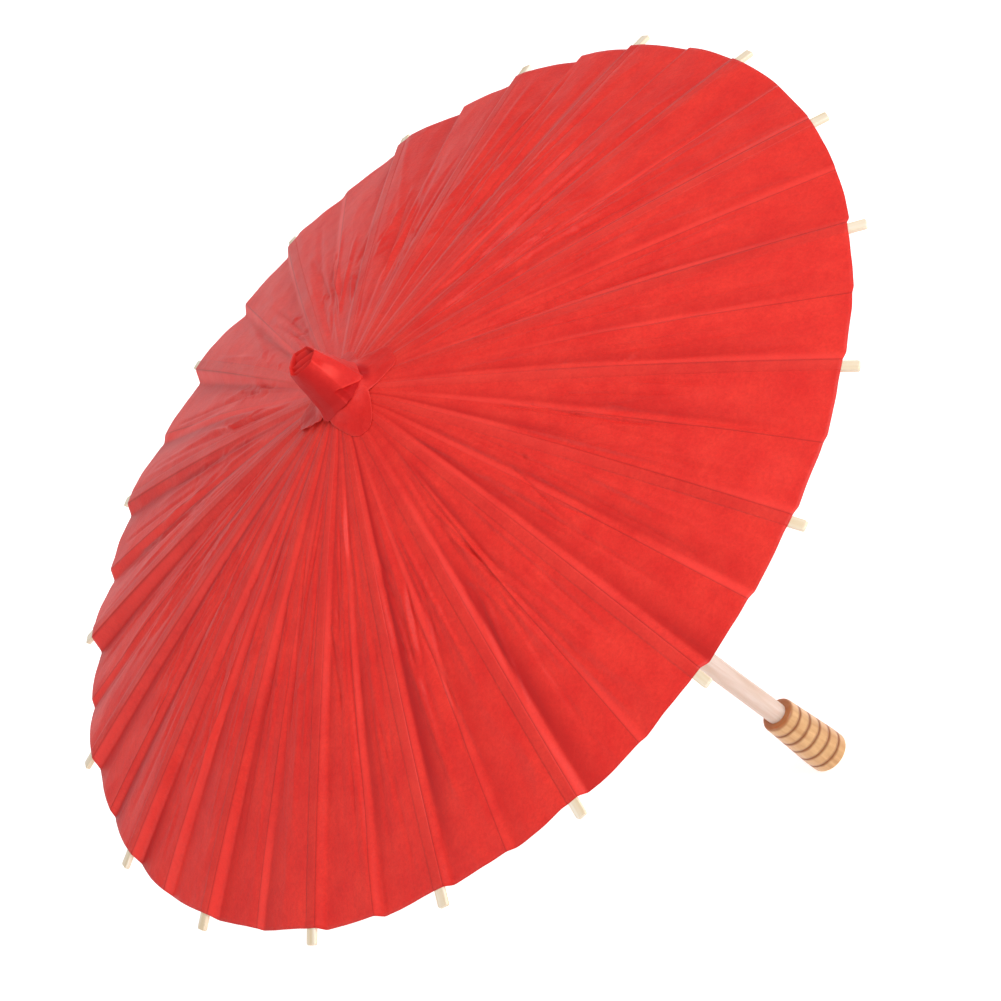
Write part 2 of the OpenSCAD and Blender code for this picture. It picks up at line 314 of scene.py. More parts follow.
class Look:
    """A material and short calls for the nodes that it is made of."""

    def __init__(self, name):
        self.material = bpy.data.materials.new(name)
        self.material.use_nodes = True
        self.tree = self.material.node_tree
        self.shader = self.tree.nodes["Principled BSDF"]
        self.output = self.tree.nodes["Material Output"]
        self.place = self.tree.nodes.new("ShaderNodeTexCoord").outputs["Object"]

    def link(self, source, socket):
        self.tree.links.new(source, socket)

    def feed(self, socket, value):
        """Sets a socket to a number or colour, or links an output to it."""
        if isinstance(value, bpy.types.NodeSocket):
            self.link(value, socket)
        else:
            socket.default_value = value

    def attribute(self, name, output="Fac"):
        node = self.tree.nodes.new("ShaderNodeAttribute")
        node.attribute_name = name
        return node.outputs[output]

    def math(self, operation, a, b=0.0, clamp=False):
        node = self.tree.nodes.new("ShaderNodeMath")
        node.operation = operation
        node.use_clamp = clamp
        self.feed(node.inputs[0], a)
        self.feed(node.inputs[1], b)
        return node.outputs[0]

    def stretch(self, vector, scale):
        """A vector multiplied along X, Y and Z."""
        node = self.tree.nodes.new("ShaderNodeMapping")
        node.inputs["Scale"].default_value = scale
        self.link(vector, node.inputs["Vector"])
        return node.outputs[0]

    def noise(self, vector, scale, detail=3.0, rough=0.55, bend=0.0):
        node = self.tree.nodes.new("ShaderNodeTexNoise")
        self.link(vector, node.inputs["Vector"])
        for key, value in (("Scale", scale), ("Detail", detail), ("Roughness", rough), ("Distortion", bend)):
            node.inputs[key].default_value = value
        return node.outputs["Fac"]

    def crumple(self, vector):
        """Flat facets that meet in sharp folds, as in paper that has been crushed."""
        node = self.tree.nodes.new("ShaderNodeTexVoronoi")
        self.link(vector, node.inputs["Vector"])
        node.inputs["Scale"].default_value = 1.0
        return node.outputs["Distance"]

    def ramp(self, value, *stops):
        """Colours or greys at places from 0 to 1."""
        node = self.tree.nodes.new("ShaderNodeValToRGB")
        elements = node.color_ramp.elements
        while len(elements) < len(stops):
            elements.new(0.5)
        for element, (place, colour) in zip(elements, stops):
            element.position = place
            element.color = colour if isinstance(colour, tuple) else (colour, colour, colour, 1)
        self.link(value, node.inputs["Fac"])
        return node.outputs["Color"]

    def mix(self, share, a, b):
        node = self.tree.nodes.new("ShaderNodeMix")
        node.data_type = "RGBA"
        self.feed(node.inputs[0], share)
        self.feed(node.inputs[6], a)
        self.feed(node.inputs[7], b)
        return node.outputs[2]

    def bump(self, *layers):
        """Bumps one on the other, each (height, depth in metres), into the shader's normal."""
        normal = None
        for height, depth in layers:
            node = self.tree.nodes.new("ShaderNodeBump")
            node.inputs["Distance"].default_value = depth
            self.link(height, node.inputs["Height"])
            if normal is not None:
                self.link(normal, node.inputs["Normal"])
            normal = node.outputs["Normal"]
        self.link(normal, self.shader.inputs["Normal"])
        return normal

    def set(self, **values):
        """Sets the shader's own sockets, named with underscores for spaces."""
        for key, value in values.items():
            self.feed(self.shader.inputs[key.replace("_", " ")], value)

    def plan(self):
        """X, Y and the distance from the shaft's axis."""
        split = self.tree.nodes.new("ShaderNodeSeparateXYZ")
        self.link(self.place, split.inputs[0])
        x, y = split.outputs[0], split.outputs[1]
        r = self.math("SQRT", self.math("ADD", self.math("MULTIPLY", x, x), self.math("MULTIPLY", y, y)))
        return x, y, self.math("MAXIMUM", r, 1 * MM)

    def polar(self, turns, along):
        """Coordinates that streak away from the shaft's axis: more turns are finer, less along is longer."""
        x, y, r = self.plan()
        joined = self.tree.nodes.new("ShaderNodeCombineXYZ")
        self.link(self.math("MULTIPLY", self.math("DIVIDE", x, r), turns), joined.inputs[0])
        self.link(self.math("MULTIPLY", self.math("DIVIDE", y, r), turns), joined.inputs[1])
        self.link(self.math("MULTIPLY", r, along), joined.inputs[2])
        return joined.outputs[0]


def paper_look(name, bright, deep, glow=0.22, shine=1.0, fan=True):
    """Oiled red paper: cloudy fibres, painted shade in its hollows, painted highlight on its folds, thin dark
    crease lines, a dusty sheen, and crumples that can fan out.
    """
    look = Look(name)
    clouds = look.noise(look.place, 60, detail=6, rough=0.68)
    fibres = look.noise(look.place, 700, detail=4, rough=0.75, bend=0.6)
    base = look.mix(look.ramp(clouds, (0.34, 0.0), (0.68, 1.0)), deep, bright)
    base = look.mix(look.ramp(fibres, (0.32, 0.26), (0.62, 0.0)), base, srgb(176, 14, 16))
    # Painted shade: darker red where the valley attribute is set, in the pleats' valleys, under the cap's
    # lapped edge, inside its tip and at its notch
    base = look.mix(look.math("MULTIPLY", look.attribute("valley"), 1.0, clamp=True), base, srgb(190, 14, 16))
    # Painted highlight: paler red where the band attribute is set, on the pleats' steep sides, the rib
    # strips, the petal edges and the cap's lit facet, lip and crease
    base = look.mix(look.math("MULTIPLY", look.attribute("band"), 0.5, clamp=True), base, srgb(252, 72, 62))
    # Thin darker line along each fold: partly painted crease shade, partly dye gathered in the fold
    base = look.mix(look.math("MULTIPLY", look.attribute("crease"), 0.5, clamp=True), base, srgb(150, 10, 14))
    look.set(Base_Color=base, Roughness=0.5, IOR=1.45, Specular_IOR_Level=0.4 * shine)
    look.set(Sheen_Weight=0.07 * shine, Sheen_Roughness=0.42, Sheen_Tint=srgb(255, 218, 222))
    grain = [(look.noise(look.place, 260, detail=4, rough=0.65), 0.17 * MM), (fibres, 0.08 * MM)]
    if fan:
        reach = look.math("DIVIDE", look.math("SUBTRACT", look.plan()[2], 18 * MM), 95 * MM, clamp=True)
        folds = [(look.math("MULTIPLY", look.crumple(look.polar(10, 26)), reach), 1.25 * MM),
                 (look.math("MULTIPLY", look.crumple(look.polar(25, 60)), reach), 0.4 * MM)]
    else:
        folds = [(look.crumple(look.stretch(look.place, (170, 170, 110))), 0.4 * MM)]
    normal = look.bump(*folds, *grain)
    light = look.tree.nodes.new("ShaderNodeBsdfTranslucent")
    look.feed(light.inputs["Color"], base)
    look.link(normal, light.inputs["Normal"])
    blend = look.tree.nodes.new("ShaderNodeMixShader")
    blend.inputs[0].default_value = glow
    look.link(look.shader.outputs[0], blend.inputs[1])
    look.link(light.outputs[0], blend.inputs[2])
    look.link(blend.outputs[0], look.output.inputs["Surface"])
    return look.material


def wood_look(name, pale, dark, streak, rough=0.5, pores=0.5, own_axes=False):
    """Fine straight grain, streak times longer than wide: up Z, or along X of the grain attribute."""
    look = Look(name)
    if own_axes:
        grain_place = look.stretch(look.attribute("grain", "Vector"), (1 / streak, 1, 1))
    else:
        grain_place = look.stretch(look.place, (1, 1, 1 / streak))
    broad = look.noise(grain_place, 350, detail=3, rough=0.5, bend=0.4)
    fine = look.noise(grain_place, 1900, detail=4, rough=0.65)
    base = look.mix(look.ramp(broad, (0.35, 0.0), (0.68, 1.0)), pale, dark)
    base = look.mix(look.ramp(fine, (0.4, 0.0), (0.75, pores)), base, dark)
    look.set(Base_Color=base, Roughness=rough, IOR=1.48, Specular_IOR_Level=0.4)
    look.bump((fine, 0.06 * MM), (broad, 0.05 * MM))
    return look, base


def ring_mask(look, heights, half_width):
    """1 at the given heights on Z, falling to 0 at half_width from them."""
    split = look.tree.nodes.new("ShaderNodeSeparateXYZ")
    wobble = look.math("SUBTRACT", look.noise(look.place, 170, detail=2), 0.5)
    look.link(look.place, split.inputs[0])
    z = look.math("ADD", split.outputs[2], look.math("MULTIPLY", wobble, 1.1 * MM))
    total = None
    for height in heights:
        away = look.math("ABSOLUTE", look.math("SUBTRACT", z, height))
        near = look.math("SUBTRACT", 1.0, look.math("DIVIDE", away, half_width), clamp=True)
        total = near if total is None else look.math("MAXIMUM", total, near)
    return total


TOP_RING_DEPTH = 6 * MM
RING_PITCH = 6.4 * MM
GRIP_RINGS = [GRIP_TOP - TOP_RING_DEPTH - k * RING_PITCH for k in range(5)]


def grip_look():
    """Lacquered wood with rings burned into it, and a scorched upper rim."""
    look, base = wood_look("grip_wood", srgb(217, 180, 124), srgb(190, 146, 90), streak=9, rough=0.34)
    burned = look.ramp(ring_mask(look, GRIP_RINGS, half_width=1.5 * MM), (0.0, 0.0), (0.8, 0.85))
    rim = look.ramp(ring_mask(look, [GRIP_TOP], half_width=1.7 * MM), (0.0, 0.0), (0.6, 0.75))
    base = look.mix(burned, base, srgb(134, 78, 34))
    base = look.mix(rim, base, srgb(158, 100, 54))
    look.set(Base_Color=base, Coat_Weight=0.35, Coat_Roughness=0.22)
    return look.material


def thread_look():
    """Twisted cotton thread."""
    look = Look("thread")
    twist = look.noise(look.place, 2400, detail=2)
    look.set(Base_Color=look.mix(twist, srgb(236, 228, 208), srgb(196, 182, 150)), Roughness=0.85)
    look.set(Sheen_Weight=0.3)
    look.bump((twist, 0.15 * MM))
    return look.material


def steel_look():
    """Dull drawn steel wire and strip."""
    look = Look("steel")
    scratches = look.noise(look.stretch(look.place, (1, 1, 0.1)), 1500, detail=3)
    look.set(Base_Color=look.mix(scratches, srgb(188, 188, 186), srgb(150, 150, 150)), Metallic=1.0)
    look.set(Roughness=look.math("ADD", look.math("MULTIPLY", scratches, 0.2), 0.25))
    look.bump((scratches, 0.01 * MM))
    return look.material


paper = paper_look("canopy_paper", srgb(243, 60, 47), srgb(232, 44, 37))
cap_paper = paper_look("cap_paper", srgb(232, 50, 42), srgb(216, 36, 32), glow=0.1, shine=0.7, fan=False)
bamboo_look, _ = wood_look("bamboo", srgb(240, 228, 210), srgb(222, 199, 164), streak=26, pores=0.35,
                           own_axes=True)
shaft_look, _ = wood_look("shaft_wood", srgb(225, 214, 203), srgb(207, 187, 167), streak=14, rough=0.55)
hub_look, _ = wood_look("hub_wood", srgb(228, 198, 152), srgb(200, 162, 112), streak=6)
bamboo, shaft_wood, hub_wood = bamboo_look.material, shaft_look.material, hub_look.material
grip_wood = grip_look()
thread = thread_look()
steel = steel_look()


def paint(obj, material):
    """Makes a material the only one of an object."""
    obj.data.materials.clear()
    obj.data.materials.append(material)


def finish_piece(obj, body, material, slot, *nodes):
    """Gives a piece its material, lets it ride its body and stand for its CAD nodes; slot is not used."""
    paint(obj, material)
    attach(obj, body)
    if nodes:
        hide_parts(*nodes)


# ---------------------------------------------------------------- camera, light and floor
CAMERA_AT = Vector((-1.0841, -1.2478, 1.4141))
CAMERA_TO = Vector((-0.0057, -0.0108, 0.2306))
CAMERA_ROLL = math.radians(-53.38)
CAMERA_LENS = 179.82


def camera_axes():
    """Right, up and forward of the rolled camera."""
    forward = (CAMERA_TO - CAMERA_AT).normalized()
    level = forward.cross(Vector((0, 0, 1))).normalized()
    rise = level.cross(forward)
    right = math.cos(CAMERA_ROLL) * level + math.sin(CAMERA_ROLL) * rise
    return right, right.cross(forward), forward


def place_camera():
    """A long lens above one side of the parasol, rolled so that the shaft slants down to the right."""
    right, up, forward = camera_axes()
    data = bpy.data.cameras.new("camera")
    data.lens = CAMERA_LENS
    data.sensor_width = 36
    camera = bpy.data.objects.new("camera", data)
    turn = Matrix((right, up, -forward)).transposed().to_4x4()
    camera.matrix_world = Matrix.Translation(CAMERA_AT) @ turn
    bpy.context.scene.collection.objects.link(camera)
    bpy.context.scene.camera = camera


def area_light(name, azimuth, elevation, distance, size, watts):
    """A soft square light that faces the parasol from an azimuth counted from +X."""
    a, e = math.radians(azimuth), math.radians(elevation)
    place = CAMERA_TO + distance * Vector((math.cos(a) * math.cos(e), math.sin(a) * math.cos(e), math.sin(e)))
    data = bpy.data.lights.new(name, "AREA")
    data.size = size
    data.energy = watts
    light = bpy.data.objects.new(name, data)
    light.location = place
    light.rotation_euler = (CAMERA_TO - place).to_track_quat("-Z", "Y").to_euler()
    bpy.context.scene.collection.objects.link(light)


def place_stage():
    """A plain near-white floor, a white surround and soft lights."""
    world = bpy.data.worlds.new("surround")
    world.use_nodes = True
    world.node_tree.nodes["Background"].inputs[0].default_value = (1, 1, 1, 1)
    world.node_tree.nodes["Background"].inputs[1].default_value = 0.45
    bpy.context.scene.world = world
    area_light("key", azimuth=-84, elevation=38, distance=1.6, size=1.0, watts=19)
    area_light("side", azimuth=140, elevation=34, distance=1.7, size=1.2, watts=8)
    area_light("back", azimuth=55, elevation=11, distance=1.8, size=1.4, watts=2.2)
    look = Look("floor")
    look.set(Base_Color=(0.93, 0.93, 0.93, 1), Roughness=0.9)
    look.set(Emission_Color=(1, 1, 1, 1), Emission_Strength=0.6)
    floor = make_object("floor", [(-6, -6, 0), (6, -6, 0), (6, 6, 0), (-6, 6, 0)], [(0, 1, 2, 3)])
    floor.data.materials.append(look.material)


place_camera()
place_stage()
bpy.context.scene.view_settings.view_transform = "Standard"


# ---------------------------------------------------------------- canopy
PANEL_INNER_R = 12 * MM
PAPER_THICK = 0.22 * MM
GLUE = 0.05 * MM
STRIP_MARGIN = 0.22 * MM
# A sheet is at least this wide
LEAST_SHEET_WIDTH = 10.2 * MM
PANEL_ROWS = 128
FOLD_COLUMNS = 36
STRIP_COLUMNS = 7
# The power of a pleat's rise to its next crest, the width of its steep side, and its depth at the edge,
# which swings round the canopy
LOBE = 1.55
STEEP_SIDE = 4.2 * MM
PLEAT_DEPTH = 3.7 * MM
PLEAT_SWING = 2.1 * MM
EDGE_WAVER = 0.5 * MM
DEEP_SIDE = math.radians(75)
# Direction round which the painted shade in the pleats' valleys is strongest; towards it the pleats also keep
# more depth in near the shaft
DARK_SIDE = math.radians(155)
paper_random = np.random.default_rng(19)
valley_spread = paper_random.uniform(0.65, 1.4, (RIBS, 2))
midfold_spread = paper_random.uniform(0.25, 0.6, RIBS)


def strip_angle(r):
    """Half the angle that the paper glued on a rib takes up at radius r."""
    s = (r - HINGE_R) / math.cos(OPEN)
    return (rib_half_width(s) + STRIP_MARGIN) / r


def pleat_depth(phi):
    """Depth of the pleats at the paper's edge: the sheet hangs looser on one side."""
    return PLEAT_DEPTH + PLEAT_SWING * np.cos(phi - DEEP_SIDE)


def drop_share(r, width):
    """Share of a fold's width that its steep side takes up."""
    return np.clip(STEEP_SIDE * (r / PAPER_R) ** 0.5 / width, 0, 0.5)


def fold_tints(along, steep, i, side, r):
    """How strong the painted highlight on a pleat's steep side is, and the painted shade in the valley beside
    it, at a share along a pleat.
    """
    # Patchy strength of the painted highlight on the steep side
    highlight_and_relief = np.clip(0.6 + 0.9 * value_noise(11, 0 * r + 2.37 * i + 0.5 * side, r / (48 * MM)), 0, 1)
    # Patchy strength of the painted valley shade, strongest round DARK_SIDE
    shade_strength = np.clip(0.5 + 0.9 * value_noise(13, 0 * r + 3.13 * i + 0.5 * side, r / (70 * MM)), 0, 1)
    shade_strength = shade_strength * (0.55 + 0.45 * math.cos(i * PITCH - DARK_SIDE))
    band = np.clip((steep * 1.2 - along) / (0.75 * steep), 0, 1) * highlight_and_relief
    band = band * np.clip((r - PANEL_INNER_R) / (55 * MM), 0.25, 1)
    valley = np.clip((along - 0.7 * steep) / (0.5 * steep), 0, 1)
    valley = valley * np.exp(-(np.clip(along - steep, 0, 1) / 0.3) ** 1.4)
    return smooth_step(band), smooth_step(valley) * shade_strength


def polar_point(r, phi):
    """A point in plan at radius r and angle phi."""
    return np.array([r * math.cos(phi), r * math.sin(phi)])


def long_crease(random, turn):
    """A wrinkle that runs outwards along a pleat, as (start, end, half width, height) in plan."""
    start = random.uniform(36, 120) * MM
    end = min(start + random.uniform(30, 110) * MM, 198 * MM)
    lean = random.normal(0, 0.045)
    return (polar_point(start, turn), polar_point(end, turn + lean),
            random.uniform(0.9, 2.4) * MM, random.choice([-1, 1]) * random.uniform(0.35, 1.1) * MM)


def short_crease(random, r, turn, side):
    """A small crumple over a stretcher's pivot, leaning away from the rib, in the same form."""
    length = random.uniform(5, 14) * MM
    lean = side * random.uniform(0.35, 1.0)
    middle = polar_point(r, turn)
    along = polar_point(length / 2, turn + lean)
    return (middle - along, middle + along,
            random.uniform(0.8, 1.6) * MM, random.choice([-1, 1]) * random.uniform(0.25, 0.65) * MM)


def make_creases():
    """The pressed wrinkles of every bay."""
    random = np.random.default_rng(5)
    creases = []
    for i in range(RIBS):
        for side in (-1, 1):
            for _ in range(9):
                turn = i * PITCH + side * random.uniform(0.08, 0.48) * PITCH
                creases.append(long_crease(random, turn))
            for _ in range(6):
                r = FORK_R + random.uniform(-24, 20) * MM
                turn = i * PITCH + side * random.uniform(0.07, 0.34) * PITCH
                creases.append(short_crease(random, r, turn, side))
    return creases


paper_creases = make_creases()


def crease_height(x, y, creases):
    """Sum of the wrinkles' heights at plan points."""
    height = np.zeros_like(x)
    for start, end, width, rise in creases:
        line = end - start
        length = np.hypot(*line)
        along = ((x - start[0]) * line[0] + (y - start[1]) * line[1]) / length ** 2
        across = ((y - start[1]) * line[0] - (x - start[0]) * line[1]) / length
        tent = np.clip(1 - np.abs(across) / width, 0, 1)
        ends = np.clip(4 * along * (1 - along), 0, 1)
        height += rise * tent * ends * (2 - ends)
    return height


def fold_drop(sector, side, along, steep):
    """How far a pleat hangs below its crest, as a share of the pleats' depth: a steep side, a valley, and a
    rounded rise to the next crest."""
    valley = valley_spread[sector, 0 if side > 0 else 1]
    midfold = midfold_spread[sector]
    down = np.clip(along / steep, 0, 1)
    down = down * (0.35 + 0.65 * down * (2 - down))
    if side > 0:
        return midfold + (valley * down - midfold) * (1 - along) ** LOBE
    return (midfold + (valley - midfold) * down) * (1 - along) ** LOBE


def paper_ripple(r, phi):
    """Height of the slow swells that run out along the sheet, calmer towards the shaft."""
    turn = phi / (2 * math.pi)
    swells, fine_swells = 4 * RIBS, 10 * RIBS
    fine = value_noise(4, turn * fine_swells, r / (26 * MM), fine_swells)
    fine = fine * np.clip((r - 30 * MM) / (70 * MM), 0.12, 1)
    ripple = 0.75 * value_noise(3, turn * swells, r / (60 * MM), swells) + 0.25 * fine
    return ripple * MM * (r / PAPER_R) ** 0.5 * np.clip((r - 20 * MM) / (50 * MM), 0.1, 1)


def paper_surface(i, side, r, t):
    """Places on the upper face of the fold on one side of rib i, and its tints.
    t runs from 0 at the rib's strip to 1 at the mid-fold."""
    edge = strip_angle(r)
    width = (PITCH / 2 - edge) * r
    phi = i * PITCH + side * (edge + (PITCH / 2 - edge) * t)
    sector = i if side > 0 else (i - 1) % RIBS
    depth = pleat_depth(phi) * (r / PAPER_R) ** (1.05 - 0.27 * np.clip(np.cos(phi - DARK_SIDE), 0, 1))
    steep = drop_share(r, width)
    along = t if side > 0 else 1 - t
    drop = fold_drop(sector, side, along, steep)
    x, y = r * np.cos(phi), r * np.sin(phi)
    loose = np.clip(t * width / (3 * MM), 0, 1)
    near = [c for c in paper_creases if abs(turn_to(math.atan2(c[0][1], c[0][0]), i * PITCH)) < 0.8 * PITCH]
    relief = paper_ripple(r, phi) + crease_height(x, y, near)
    z = rib_top_z(r) + GLUE + PAPER_THICK - drop * depth + relief * loose
    # Tints: painted highlight on the steep side, painted shade in the valley, and a thin dark crease line
    band, dark = fold_tints(along, steep, i, side, r)
    line = np.exp(-(along * width / (0.45 * MM)) ** 2) * np.clip((r - 50 * MM) / (90 * MM), 0, 1)
    return np.stack([x, y, z], axis=2), {"crease": line, "band": band, "valley": dark}


def edge_radius(phi):
    """The paper's trimmed edge, which is cut a little unevenly."""
    waves = 3 * RIBS
    return PAPER_R - EDGE_WAVER + EDGE_WAVER * value_noise(8, phi / (2 * math.pi) * waves, phi * 0, waves)


def spaced(count):
    """count numbers from 0 to 1, closer at both ends."""
    return (1 - np.cos(np.linspace(0, math.pi, count))) / 2


def radii_to_edge(phi_at_edge):
    """Rows of radii from under the cap to the trimmed edge, one column for each angle."""
    share = np.linspace(0, 1, PANEL_ROWS)[:, None]
    return PANEL_INNER_R + (edge_radius(phi_at_edge)[None, :] - PANEL_INNER_R) * share


FOLD_RAISE = 0.45


def paper_piece(name, i, grid, tints, width):
    """One piece of the canopy's sheet, glued to rib i; its flat width is not used."""
    rib_name = f"rib_{i:02d}"
    width = max(width, LEAST_SHEET_WIDTH)
    piece = sheet_object(name, grid, grid - np.array([0, 0, PAPER_THICK]), tints)
    finish_piece(piece, rib_name, paper, "canopy_paper", "canopy")
    return piece


def make_strip(i, edge):
    """The part of the sheet that is glued along rib i, edge being half its angle at the paper's edge."""
    share = np.linspace(-1, 1, STRIP_COLUMNS)
    r = radii_to_edge(i * PITCH + edge * share)
    phi = i * PITCH + strip_angle(r) * share
    z = rib_top_z(r) + GLUE + PAPER_THICK + 0 * phi
    # Painted highlight along the strip over the rib: patchy, and stronger on one side of it
    highlight_and_relief = np.clip(0.35 + 0.7 * value_noise(12, 0 * r + 1.7 * i, r / (52 * MM)), 0, 1) * (0.6 + 0.4 * share)
    grid = np.stack([r * np.cos(phi), r * np.sin(phi), z], axis=2)
    paper_piece(f"canopy_strip_{i:02d}", i, grid, {"band": highlight_and_relief}, 2 * edge * PAPER_R)


def make_fold(i, side, label, edge):
    """The part of the sheet from rib i's strip to the mid-fold."""
    t = spaced(FOLD_COLUMNS)
    r = radii_to_edge(i * PITCH + side * (edge + (PITCH / 2 - edge) * t))
    grid, tints = paper_surface(i, side, r, t[None, :] + 0 * r)
    piece = paper_piece(f"canopy_fold_{i:02d}{label}", i, grid, tints, PITCH / 2 * PAPER_R)
    outward, along = plan_axes(i * PITCH)
    normal = outward * math.sin(OPEN) + Vector((0, 0, math.cos(OPEN)))
    anchor = outward * PAPER_R + along * side * edge * PAPER_R
    anchor.z = rib_top_z(PAPER_R) + GLUE
    anchor += normal * RIB_BOW * FOLD_RAISE
    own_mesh(piece)


def make_canopy():
    """The pleated sheet: a strip glued along each rib, and a fold on each side of it up to the mid-fold."""
    edge = strip_angle(PAPER_R)
    for i in range(RIBS):
        make_strip(i, edge)
        make_fold(i, 1, "a", edge)
        make_fold(i, -1, "b", edge)


make_canopy()


# ---------------------------------------------------------------- ribs and stretchers
RIB_STATIONS = [-1.45, -1.1, -0.5, 0, 1, 3, 6, 8, 10, 16, 26, 38, 52, 66, *range(80, 108, 4), 111, 118,
                *range(126, 210, 12), 206]
TONGUE_HEAD = 1.6 * MM
PIN_R = 0.4 * MM
PIN_HOLE_R = 0.45 * MM
SLOT_HALF = 0.8 * MM
SLOT_BEHIND, SLOT_AHEAD = 6.5 * MM, 18 * MM
RIB_CORNER, STRETCHER_CORNER = 0.32 * MM, 0.26 * MM
FOOT_HOLE_R = 0.35 * MM
CUTTER = 4 * MM
FORK_Z_ON_RIB = bow(FORK_S) - FORK_DROP


def strip_rings(stations, half_width, low, high, corner):
    """Rings of a rounded bar along X: half_width, low and high are functions of the station."""
    return [[(s, y, z) for y, z in rounded_ring(half_width(s), low(s), high(s), corner)] for s in stations]


def grain_values(obj, seed):
    """Where each vertex lies along and across its strip, moved on by its own amount."""
    places = np.array([v.co for v in obj.data.vertices])
    return places + np.random.default_rng(seed).uniform(-3, 3, 3)


def rib_mesh():
    """One split bamboo rib on its own axes, with its fork and its pin hole."""
    def high(s):
        full = bow(s) + RIB_TOP
        return full if s >= 0 else min(full, math.sqrt(TONGUE_HEAD ** 2 - s * s))

    def low(s):
        full = bow(s) + RIB_TOP - rib_depth(s)
        return full if s >= 0 else max(full, -math.sqrt(TONGUE_HEAD ** 2 - s * s))

    def half_width(s):
        end = RIB_LENGTH - s
        return float(rib_half_width(s)) - (0.5 * MM * (1 - end / MM) ** 2 if end < MM else 0)

    ends = [RIB_LENGTH - d * MM for d in (3, 1, 0.55, 0.2)]
    rings = strip_rings([s * MM for s in RIB_STATIONS] + ends, half_width, low, high, RIB_CORNER)
    tip = [(RIB_LENGTH, y * 0.86, (z - bow(RIB_LENGTH)) * 0.74) for _, y, z in rings[-1]]
    rib = loft("rib", rings + [tip])
    slot_low = (FORK_S - SLOT_BEHIND, -SLOT_HALF, FORK_Z_ON_RIB - CUTTER)
    cut(rib, box_object(slot_low, (FORK_S + SLOT_AHEAD, SLOT_HALF, FORK_Z_ON_RIB + CUTTER)))
    return cut(rib, rod_object((FORK_S, FORK_Z_ON_RIB), PIN_HOLE_R, 10 * MM))


def pin_mesh():
    """The bamboo pin across a fork, with rounded ends."""
    angles = np.linspace(0, 2 * math.pi, 20, endpoint=False)
    ends = ((2.35 * MM, 0.2 * MM), (2.25 * MM, 0.36 * MM), (2.05 * MM, PIN_R))
    rings = [[(FORK_S + r * math.cos(a), y, FORK_Z_ON_RIB + r * math.sin(a)) for a in angles]
             for y, r in [(-y, r) for y, r in ends] + list(reversed(ends))]
    return loft("pin", rings)


def stretcher_mesh():
    """One stretcher on its own axis, from the fork's pin to the runner, with a round eye at each end."""
    length = STRETCHER_LENGTH
    eye = 1.5 * MM

    def half_width(s):
        end = min(s, length - s)
        return float(np.interp(end, [18 * MM, 24 * MM], [0.6 * MM, 1.4 * MM]))

    def half_thick(s):
        end = min(s, length - s)
        if end < 0:
            return math.sqrt(max(eye ** 2 - end ** 2, 0.04 * MM ** 2))
        return float(np.interp(end, [0, 0.9 * MM, 1.5 * MM], [eye, 1.2 * MM, 1.2 * MM]))

    ends = [-1.42, -1.1, -0.6, 0, 0.5, 0.9, 1.5, 6, 12, 18, 20, 22, 24, 30, 38]
    stations = [s * MM for s in ends] + [length - s * MM for s in reversed(ends)]
    rings = strip_rings(stations, half_width, lambda s: -half_thick(s), half_thick, STRETCHER_CORNER)
    stretcher = loft("stretcher", rings)
    cut(stretcher, rod_object((0, 0), PIN_HOLE_R, 10 * MM))
    return cut(stretcher, rod_object((length, 0), FOOT_HOLE_R, 10 * MM))


def copy_to(source, name, matrix, seed):
    """A copy of a mesh object in its place, with its own run of grain."""
    mesh = source.data.copy()
    piece = bpy.data.objects.new(name, mesh)
    bpy.context.scene.collection.objects.link(piece)
    add_attribute(piece, "grain", grain_values(piece, seed))
    mesh.transform(matrix)
    mesh.polygons.foreach_set("use_smooth", [True] * len(mesh.polygons))
    mesh.set_sharp_from_angle(angle=math.radians(40))
    return piece


def make_ribs():
    """Every rib and stretcher, as copies of one of each."""
    rib = join("rib", rib_mesh(), pin_mesh())
    stretcher = stretcher_mesh()
    fork_angle = math.atan2(FORK_Z_ON_RIB, FORK_S)
    turn_back = math.pi - 2 * (OPEN - fork_angle) - fork_angle
    fold_back = Matrix.Translation((FORK_S, 0, FORK_Z_ON_RIB)) @ Matrix.Rotation(turn_back, 4, "Y")
    for i in range(RIBS):
        name = f"{i:02d}"
        piece = copy_to(rib, f"bamboo_rib_{name}", at_rib(i), i)
        finish_piece(piece, f"rib_{name}", bamboo, "bamboo", f"rib_{name}")
        piece = copy_to(stretcher, f"bamboo_stretcher_{name}", at_rib(i) @ fold_back, 40 + i)
        finish_piece(piece, f"stretcher_{name}", bamboo, "bamboo", f"stretcher_{name}")
    bpy.data.objects.remove(rib)
    bpy.data.objects.remove(stretcher)


make_ribs()


# ---------------------------------------------------------------- shaft, grip, hubs and catch
def make_grip():
    """The turned grip with its shallow burned grooves."""
    neck_r, foot_round, top_round, straight = 8 * MM, 1.6 * MM, 1.4 * MM, 8.1 * MM
    groove_half, groove_deep = 0.7 * MM, 0.38 * MM
    outline = [(3.2 * MM, 0.6 * MM), (3.6 * MM, 0.0), (GRIP_R - foot_round, 0.0)]
    for a in np.radians([15, 30, 45, 60, 75, 90]):
        outline.append((GRIP_R - foot_round * (1 - math.sin(a)), foot_round * (1 - math.cos(a))))
    for z in np.arange(2.0, 36.0, 0.18) * MM:
        share = max(0.0, (z - straight) / (GRIP_TOP - straight))
        groove = sum(max(0.0, 1 - abs(z - ring) / groove_half) ** 1.4 for ring in GRIP_RINGS)
        outline.append((GRIP_R - (GRIP_R - neck_r) * share - groove_deep * groove, z))
    for a in np.radians([0, 22, 45, 68, 90]):
        outline.append((neck_r - top_round * (1 - math.cos(a)), GRIP_TOP - top_round * (1 - math.sin(a))))
    outline.append((SHAFT_R + 0.05 * MM, GRIP_TOP))
    grip = lathe("turned_grip", outline)
    finish_piece(grip, "root", grip_wood, "grip_wood", "grip")


